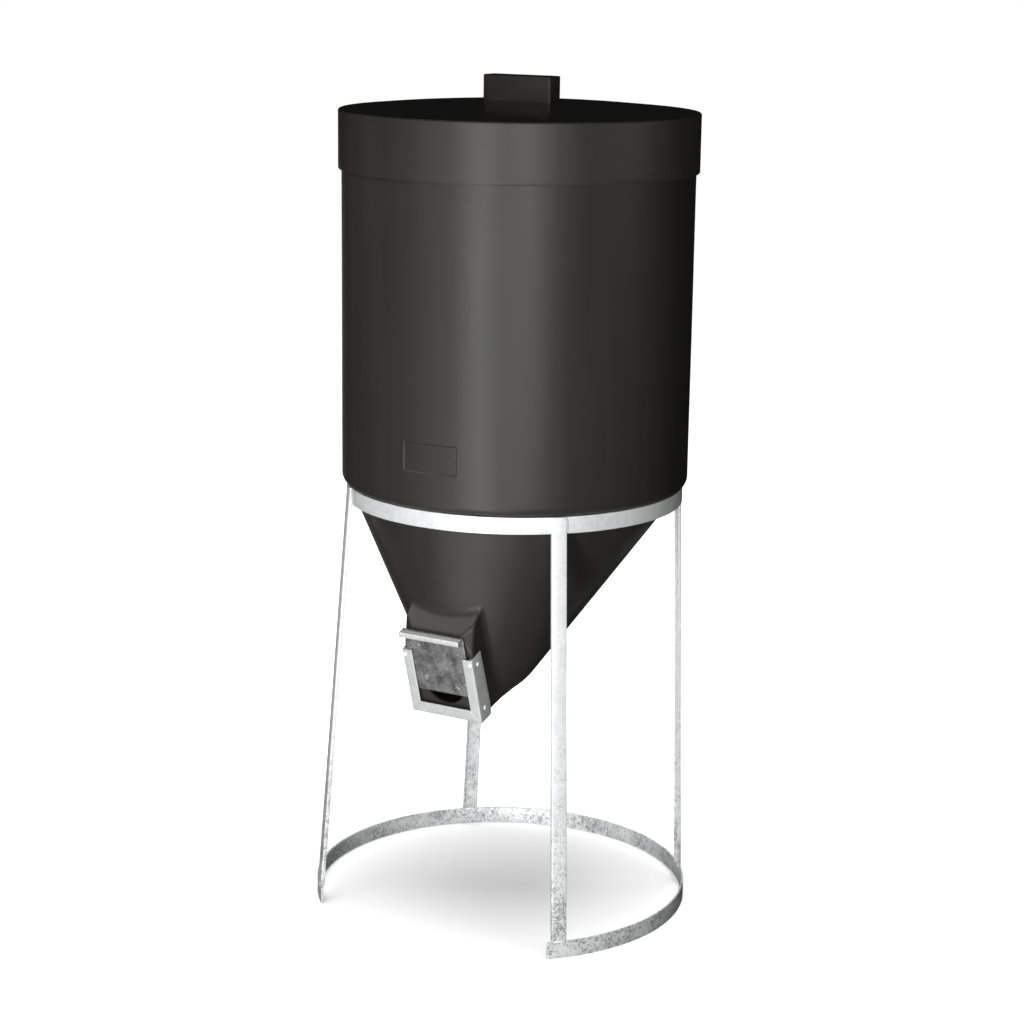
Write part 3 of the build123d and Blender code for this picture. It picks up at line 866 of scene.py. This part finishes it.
def bottom_ring():
    """Open base ring with rounded, drilled tabs at its ends."""
    past = degrees((LEG_WIDTH / 2 + TAB_LENGTH) / BASE_RING_R)
    start = LEGS["leg_front_right"][1] - past
    arc = 360 - (LEGS["leg_front_right"][1] - LEGS["leg_front_left"][1]) + 2 * past
    round_arc = degrees(TAB_ROUND / BASE_RING_R)
    ends = [round_arc * (1 - cos(radians(a))) for a in (0, 12, 25, 38, 52, 66, 78, 90)]
    middle = list(np.linspace(round_arc, arc - round_arc, 260))
    stops = ends[:-1] + middle + [arc - e for e in reversed(ends[:-1])]
    sections = []
    for stop in stops:
        near = min(stop, arc - stop)
        short = max(1 - near / round_arc, 0)
        trim = TAB_ROUND * (1 - sqrt(max(1 - short**2, 0)))
        z = (trim, BASE_RING_HEIGHT - trim)
        sections.append(bar_section(start + stop, z, BASE_RING_R, BASE_SHIFT))
    ring = sweep("bottom_ring_bar", sections)
    hole = degrees((LEG_WIDTH / 2 + TAB_LENGTH / 2) / BASE_RING_R)
    for azimuth in (start + past - hole, start + arc - past + hole):
        drill = lathe("drill", [(TAB_HOLE_R, -TAB_DRILL), (TAB_HOLE_R, TAB_DRILL)], 40)
        at = BASE_SHIFT + radial(azimuth) * BASE_RING_R + Vector((0, 0, BASE_RING_HEIGHT / 2))
        turn = radial(azimuth).to_track_quat("Z", "Y").to_matrix().to_4x4()
        drill.data.transform(Matrix.Translation(at) @ turn)
        combine(ring, drill, "DIFFERENCE")
    return place(ring, STAND, "galvanised_bar", BAR_ZINC, "bottom_ring")


def channel_outline():
    """Section of a leg: web outward, flanges inward, with folded corners."""
    half, outer, inner = LEG_WIDTH / 2, 2.2 * MM, 0.7 * MM
    tip = 0.5 * MM
    right = [(half - LEG_FLANGE, -LEG_WEB - inner)]
    right += [(half - LEG_FLANGE, -LEG_DEPTH + tip), (half - LEG_FLANGE + tip, -LEG_DEPTH)]
    right += [(half - tip, -LEG_DEPTH), (half, -LEG_DEPTH + tip)]
    right += arc_points((half - outer, -outer), outer, 0, 90, 5)
    left = [(-x, y) for x, y in reversed(right)]
    corner = (half - LEG_FLANGE - inner, -LEG_WEB)
    return [(-corner[0], corner[1]), corner] + right + left


def leg(name):
    """Splayed channel leg, its web lapping the top ring and its foot on the base ring."""
    head_azimuth, foot_azimuth = LEGS[name]
    out = radial(head_azimuth)
    head = out * (TOP_RING_R + LEG_WEB) + Vector((0, 0, TOP_RING_Z[1]))
    foot = BASE_SHIFT + radial(foot_azimuth) * BASE_RING_R + Vector((0, 0, BASE_RING_HEIGHT))
    along = (head - foot).normalized()
    across = out.cross(along).normalized()
    outward = along.cross(across)
    outline = channel_outline()
    sections = []
    for z in np.linspace(BASE_RING_HEIGHT, TOP_RING_Z[1], 26):
        section = []
        for a, b in outline:
            start = foot + across * a + outward * b
            section.append(start + along * ((z - start.z) / along.z))
        sections.append(section)
    bar = sweep(name + "_channel", sections)
    notch_z = TOP_RING_Z[0] - LEG_FLANGE_GAP
    notch = block("notch", (-0.03, 0.03), (-0.05, 0), (notch_z, TOP_RING_Z[1] + 0.02))
    level = Matrix((
        (across.x, out.x, 0), (across.y, out.y, 0), (0, 0, 1),
    )).to_4x4()
    notch.data.transform(Matrix.Translation(out * TOP_RING_R) @ level)
    recalculate_normals(notch)
    combine(bar, notch, "DIFFERENCE")
    soften(bar, CUT_EDGE, 2, 50)
    place(bar, STAND, "galvanised_bar", BAR_ZINC, name)
    weld_leg(name, head, foot, across, outward, along)
    return bar


def weld_bead(name, start, end, out, r, ripples):
    """Weld bead between two points, its rounds like stacked coins, swelling outward."""
    line = end - start
    length = line.length
    along = line.normalized()
    side = along.cross(out).normalized()
    steps = ripples * 6
    sections = []
    for i in range(steps + 1):
        t = i / steps
        ends = sqrt(max(1 - abs(2 * t - 1) ** 6, 0.0))
        coin = 1 + 0.14 * abs(sin(pi * ripples * t))
        wander = noise.noise(Vector((t * ripples * 0.7, r * 900, length * 70)))
        size = r * max(ends, 0.15) * coin * (1 + 0.12 * wander)
        centre = start + along * (t * length) + side * (0.25 * r * wander)
        ring = []
        for k in range(14):
            a = 2 * pi * k / 14
            ring.append(centre + side * (1.15 * size * cos(a)) + out * (0.72 * size * sin(a)))
        sections.append(ring)
    return sweep(name, sections)


def weld_leg(name, head, foot, across, outward, along):
    """Beads that join a leg to both rings."""
    half = LEG_WIDTH / 2
    ring_height = TOP_RING_Z[1] - TOP_RING_Z[0]
    beads = []
    for hand, side in SIDES.items():
        top = head + across * (side * half) - outward * (LEG_WEB - 0.5 * MM) - along * 4 * MM
        low = top - along * (ring_height - 9 * MM)
        beads.append(weld_bead(name + "_head_weld_" + hand, low, top, outward, HEAD_BEAD_R, 8))
    reach = half - 5 * MM
    base = foot + outward * -0.6 * MM + Vector((0, 0, 0.2 * MM))
    beads.append(weld_bead(name + "_foot_weld", base - across * reach, base + across * reach,
                           outward, FOOT_BEAD_R, 8))
    back = foot - outward * (BAR + 0.4 * MM)
    beads.append(weld_bead(name + "_foot_weld_back", back - across * reach, back + across * reach,
                           -outward, BACK_BEAD_R, 7))
    join(beads[0], beads[1:])
    beads[0].name = name + "_welds"
    return place(beads[0], STAND, "galvanised_bar", WELD_ZINC)


# ---- Slide gate -------------------------------------------------------------------
def bend(centre, r, start, end):
    """Outer and inner points of a sheet bend of outer radius r."""
    return arc_points(centre, r, start, end, 5), arc_points(centre, r - SHEET, start, end, 5)


def above_mitre(x, t):
    """Height at a share t of the way up an upright's face, from the mitre at x."""
    low = FRAME_W[0] + RAIL_FACE * (FRAME_HALF - x) / FACE_WIDTH
    return low + (FRAME_W[1] - low) * t


def gate_upright(hand):
    """Angle beside the outlet: mitred face strip and a side flange riveted to the neck."""
    side = SIDES[hand]
    inner_x = FRAME_HALF - FACE_WIDTH
    centre = (FRAME_HALF - BEND_R, -BEND_R)
    arc_out, arc_in = bend(centre, BEND_R, 90, 0)
    rows_out, rows_in = [], []
    for row in range(25):
        t = row / 24
        outer, inner = [], []
        for x in np.linspace(inner_x, centre[0], 5):
            w = above_mitre(x, t)
            outer.append((x, w, 0))
            inner.append((x, w, -SHEET))
        for (ax, an), (bx, bn) in zip(arc_out[1:], arc_in[1:]):
            w = above_mitre(ax, t)
            outer.append((ax, w, an))
            inner.append((bx, w, bn))
        for share in (0.25, 0.5, 0.75, 1.0):
            top = FRAME_W[1] + FLANGE_PEAK[0] * share
            w = FRAME_W[0] + (top - FRAME_W[0]) * t
            n = -BEND_R + (flange_back(w) + BEND_R) * share
            outer.append((FRAME_HALF, w, n))
            inner.append((FRAME_HALF - SHEET, w, n))
        rows_out.append([gate_point(side * x, w, n) for x, w, n in outer])
        rows_in.append([gate_point(side * x, w, n) for x, w, n in inner])
    upright = thick_sheet("gate_frame_" + hand, rows_out, rows_in)
    soften(upright, SHEET_EDGE, 2, 50)
    join(upright, [pip(side * (inner_x + PIP_R + MM), FRAME_W[1] - PIP_R - MM)])
    return place(upright, STAND, "galvanised_sheet", SHEET_ZINC, "gate_upright_" + hand)


def pip(x, w):
    """Small dome pressed into the top corner of an upright's face."""
    angles = [radians(a) for a in (0, 15, 30, 45, 60, 75, 86)]
    dome = [(PIP_OUTER_R * cos(a), PIP_HEIGHT * sin(a)) for a in angles]
    obj = lathe("pip", [(PIP_OUTER_R, -0.6 * MM)] + dome, 28)
    obj.data.transform(GATE_FRAME @ Matrix.Translation((x, w, 0)))
    return obj


def flange_back(w):
    """Depth of a side flange's back edge at height w."""
    heel_w = FRAME_W[0] + FLANGE_HEEL[0]
    peak_w = FRAME_W[1] + FLANGE_PEAK[0]
    heel_n = -FLANGE_DEPTH - FLANGE_HEEL[1]
    peak_n = FLANGE_PEAK[1] - FLANGE_DEPTH
    return float(np.interp(w, [FRAME_W[0], heel_w, peak_w], [-FLANGE_DEPTH, heel_n, peak_n]))


def gate_bottom_rail():
    """Angle under the outlet, mitred to the uprights."""
    inner_half = FRAME_HALF - FACE_WIDTH
    centre = (FRAME_W[0] + BEND_R, -BEND_R)
    arc_out, arc_in = bend(centre, BEND_R, 90, 180)
    top = FRAME_W[0] + RAIL_FACE
    profile = [((w, 0), (w, -SHEET)) for w in np.linspace(top, centre[0], 5)]
    profile += zip(arc_out[1:], arc_in[1:])
    for n in np.linspace(-BEND_R, -FLANGE_DEPTH, 5)[1:]:
        profile.append(((FRAME_W[0], n), (FRAME_W[0] + SHEET, n)))
    rows_out, rows_in = [], []
    for (w_out, n_out), (w_in, n_in) in profile:
        half = inner_half + FACE_WIDTH * (top - w_out) / RAIL_FACE
        if n_out < -SHEET:
            half = NECK_HALF
        half = min(half, FRAME_HALF - 0.2 * MM)
        shares = np.linspace(-1, 1, 25)
        rows_out.append([gate_point(s * half, w_out, n_out) for s in shares])
        rows_in.append([gate_point(s * half, w_in, n_in) for s in shares])
    rail = thick_sheet("gate_frame_bottom", rows_out, rows_in)
    soften(rail, SHEET_EDGE, 2, 50)
    return place(rail, STAND, "galvanised_sheet", SHEET_ZINC, "gate_bottom_rail")


def gate_plate():
    """Sliding plate, its top edge folded out and down into a pull lip."""
    front = PLATE_N + SHEET
    reach = front + LIP_REACH
    low, top = PLATE_W
    back_r, front_r = BEND_R, LIP_BEND_R
    profile = [((w, PLATE_N), (w, front)) for w in np.linspace(low, top - back_r, 22)]
    profile += zip(*bend((top - back_r, PLATE_N + back_r), back_r, -90, 0))
    for n in np.linspace(PLATE_N + back_r, reach - front_r, 5)[1:]:
        profile.append(((top, n), (top - SHEET, n)))
    profile += zip(*bend((top - front_r, reach - front_r), front_r, 0, 90))
    profile.append(((top - LIP_DROP, reach), (top - LIP_DROP, reach - SHEET)))
    rows_out, rows_in = [], []
    for (w_out, n_out), (w_in, n_in) in profile:
        row_out, row_in = [], []
        for x in np.linspace(*PLATE_X, 30):
            bow = PLATE_BOW * noise.noise(Vector((x * 18, w_out * 14, 3.1))) if w_out < 0.1 else 0.0
            row_out.append(gate_point(x, w_out, n_out + bow))
            row_in.append(gate_point(x, w_in, n_in + bow))
        rows_out.append(row_out)
        rows_in.append(row_in)
    plate = thick_sheet("gate_sliding_plate", rows_out, rows_in)
    soften(plate, CUT_EDGE, 2, 50)
    return place(plate, GATE, "gate_sheet", PLATE_ZINC, "gate_plate")


def rivet(name, grip, frame_at):
    """Domed rivet: crisp rim, low dome and shank."""
    rim = [(RIVET_SHANK_R, -grip), (RIVET_SHANK_R, 0), (RIVET_HEAD_R - 0.1 * MM, 0),
           (RIVET_HEAD_R, RIVET_RIM)]
    rise = RIVET_HEAD_HEIGHT - RIVET_RIM
    angles = [radians(a) for a in range(12, 85, 12)]
    dome = [(RIVET_HEAD_R * cos(a), RIVET_RIM + rise * sin(a)) for a in angles]
    obj = lathe(name, rim + dome, 36)
    obj.data.transform(frame_at)
    return place(obj, STAND, "rivet_metal", RIVET_METAL, name.replace("_pop", ""))


def rivets():
    """Side rivets through both flanges, and one at the top of each face strip."""
    for hand, side in SIDES.items():
        for level, w in SIDE_RIVET_W.items():
            turn = Matrix.Rotation(side * pi / 2, 4, "Y")
            at = GATE_FRAME @ Matrix.Translation((side * FRAME_HALF, w, SIDE_RIVET_N)) @ turn
            rivet("side_rivet_" + hand + "_" + level + "_pop", RIVET_GRIP, at)
        at = GATE_FRAME @ Matrix.Translation((side * FRONT_RIVET_X, FRONT_RIVET_W, 0))
        rivet("front_rivet_" + hand + "_pop", FRONT_RIVET_GRIP, at)


def carried_nodes():
    """CAD nodes that stay: guide strips and backing washers."""
    for hand in SIDES:
        names = ["guide_strip_" + hand]
        names += ["backing_washer_" + hand + "_" + level for level in SIDE_RIVET_W]
        for name in names:
            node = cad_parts[name]
            node.data.materials.clear()
            node.data.materials.append(SHEET_ZINC)


# ---- Stage ------------------------------------------------------------------------
CAMERA_AT = Vector((2.309, -3.999, 1.885))
CAMERA_TURN = radians(30)
CAMERA_PAN = -0.001
CAMERA_TILT = 0.231
CAMERA_ROLL = -0.014
CAMERA_LENS = 83.38
SENSOR = 36.0
FLOOR_REACH = 60
FLOOR_GLOW = 0.208
GLOW_RADII = (0.5, 1.3)
WORLD_GLOW = 0.008


def camera():
    """Camera at eye height, looking a little down on the hopper's front right."""
    turned = Matrix.Rotation(CAMERA_TURN, 3, "Z")
    ahead = Vector((
        sin(CAMERA_PAN) * cos(CAMERA_TILT), cos(CAMERA_PAN) * cos(CAMERA_TILT), -sin(CAMERA_TILT),
    ))
    level = Vector((cos(CAMERA_PAN), -sin(CAMERA_PAN), 0))
    down = ahead.cross(level)
    right = level * cos(CAMERA_ROLL) + down * sin(CAMERA_ROLL)
    below = down * cos(CAMERA_ROLL) - level * sin(CAMERA_ROLL)
    columns = [turned @ right, turned @ -below, turned @ -ahead]
    data = bpy.data.cameras.new("camera")
    data.lens = CAMERA_LENS
    data.sensor_width = SENSOR
    data.clip_start, data.clip_end = 0.1, 100
    obj = bpy.data.objects.new("camera", data)
    bpy.context.scene.collection.objects.link(obj)
    obj.matrix_world = Matrix.Translation(CAMERA_AT) @ Matrix(columns).transposed().to_4x4()
    bpy.context.scene.camera = obj


def floor():
    """Wide pale floor."""
    reach = FLOOR_REACH
    corners = [(-reach, -reach, 0), (reach, -reach, 0), (reach, reach, 0), (-reach, reach, 0)]
    plane = new_object("floor", corners, [(0, 1, 2, 3)])
    m = Material("floor", Roughness=0.9, Specular_IOR_Level=0.0, Emission_Color=grey(1.0))
    seen = m.node("LightPath").outputs["Is Camera Ray"]
    away = m.node("VectorMath")
    away.operation = "LENGTH"
    m.feed(away.inputs[0], m.place)
    glow = m.math("MULTIPLY", m.span(away.outputs["Value"], *GLOW_RADII, FLOOR_GLOW, 1.0), seen)
    plane.data.materials.append(m.finish(Base_Color=grey(0.94), Emission_Strength=glow))
    plane.visible_diffuse = False
    plane.visible_glossy = False
    plane.visible_shadow = False
    plane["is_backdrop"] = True
    return plane


def softbox(name, azimuth, distance, height, size, power, aim_z=0.9):
    """Area light standing round the object and facing it."""
    data = bpy.data.lights.new(name, "AREA")
    data.shape = "RECTANGLE"
    data.size, data.size_y = size
    data.energy = power
    obj = bpy.data.objects.new(name, data)
    bpy.context.scene.collection.objects.link(obj)
    at = radial(azimuth) * distance + Vector((0, 0, height))
    aim = Vector((0, 0, aim_z)) - at
    obj.matrix_world = Matrix.Translation(at) @ aim.to_track_quat("-Z", "Y").to_matrix().to_4x4()
    return obj


def only_on(lamps, objects, name):
    """Lamps that light nothing but the given objects."""
    lit = bpy.data.collections.new(name)
    for obj in objects:
        lit.objects.link(obj)
    for lamp in lamps:
        lamp.light_linking.receiver_collection = lit


def lights(ground):
    """Overhead boxes, tall strips left and right of the camera, and weak fills all round.

    Each is a name, azimuth, distance, height, size, power and the height that it aims at.
    """
    above = softbox("floor_overhead", 300, 0.24, 3.6, (3.2, 3.2), 250, 0)
    only_on([above], [ground], "ground")
    lamps = [
        softbox("overhead", 285, 1.2, 4.2, (2.0, 2.0), 4, 0.8),
        softbox("key_strip", 277, 3.4, 0.6, (0.52, 4.0), 56, 0.8),
        softbox("front_strip", 306, 5.0, 1.2, (1.75, 3.0), 67, 1.0),
        softbox("left_fill", 248, 4.5, 1.1, (2.2, 3.2), 12, 0.8),
        softbox("right_fill", 10, 4.5, 1.7, (2.4, 1.2), 9, 1.3),
        softbox("back_fill", 125, 4.5, -0.2, (3.0, 2.6), 15, 0.6),
        softbox("low_bounce", 271, 2.6, -1.5, (3.0, 2.0), 26, 0.6),
    ]
    only_on(lamps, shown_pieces(), "pieces")
    below_lid = [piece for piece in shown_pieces() if "lid" not in piece.active_material.name]
    high_left = softbox("high_left", 221, 2.7, 3.6, (1.6, 1.6), 28, 0.6)
    back_high = softbox("back_high", 112, 4.2, 2.9, (2.6, 1.6), 60, 0.8)
    only_on([high_left, back_high], below_lid, "below_lid")
    steel = [piece for piece in below_lid if "plastic" not in piece.active_material.name]
    only_on([softbox("steel_front", 292, 4.5, 1.2, (4.4, 3.6), 140, 0.6)], steel, "steel")
    backdrop()


def backdrop():
    """White to the camera, and almost dark to the light falling on the object."""
    world = bpy.data.worlds.new("studio")
    bpy.context.scene.world = world
    world.use_nodes = True
    nodes, links = world.node_tree.nodes, world.node_tree.links
    background = nodes["Background"]
    background.inputs["Color"].default_value = grey(1.0)
    background.inputs["Strength"].default_value = WORLD_GLOW
    white = nodes.new("ShaderNodeBackground")
    white.inputs["Color"].default_value = grey(1.0)
    seen = nodes.new("ShaderNodeLightPath")
    mix = nodes.new("ShaderNodeMixShader")
    links.new(seen.outputs["Is Camera Ray"], mix.inputs[0])
    links.new(background.outputs[0], mix.inputs[1])
    links.new(white.outputs[0], mix.inputs[2])
    links.new(mix.outputs[0], nodes["World Output"].inputs["Surface"])
    bpy.context.scene.view_settings.view_transform = "Standard"


camera()
hopper_body()
lid()
top_ring()
bottom_ring()
for leg_name in LEGS:
    leg(leg_name)
for upright_hand in SIDES:
    gate_upright(upright_hand)
gate_bottom_rail()
gate_plate()
rivets()
carried_nodes()
lights(floor())
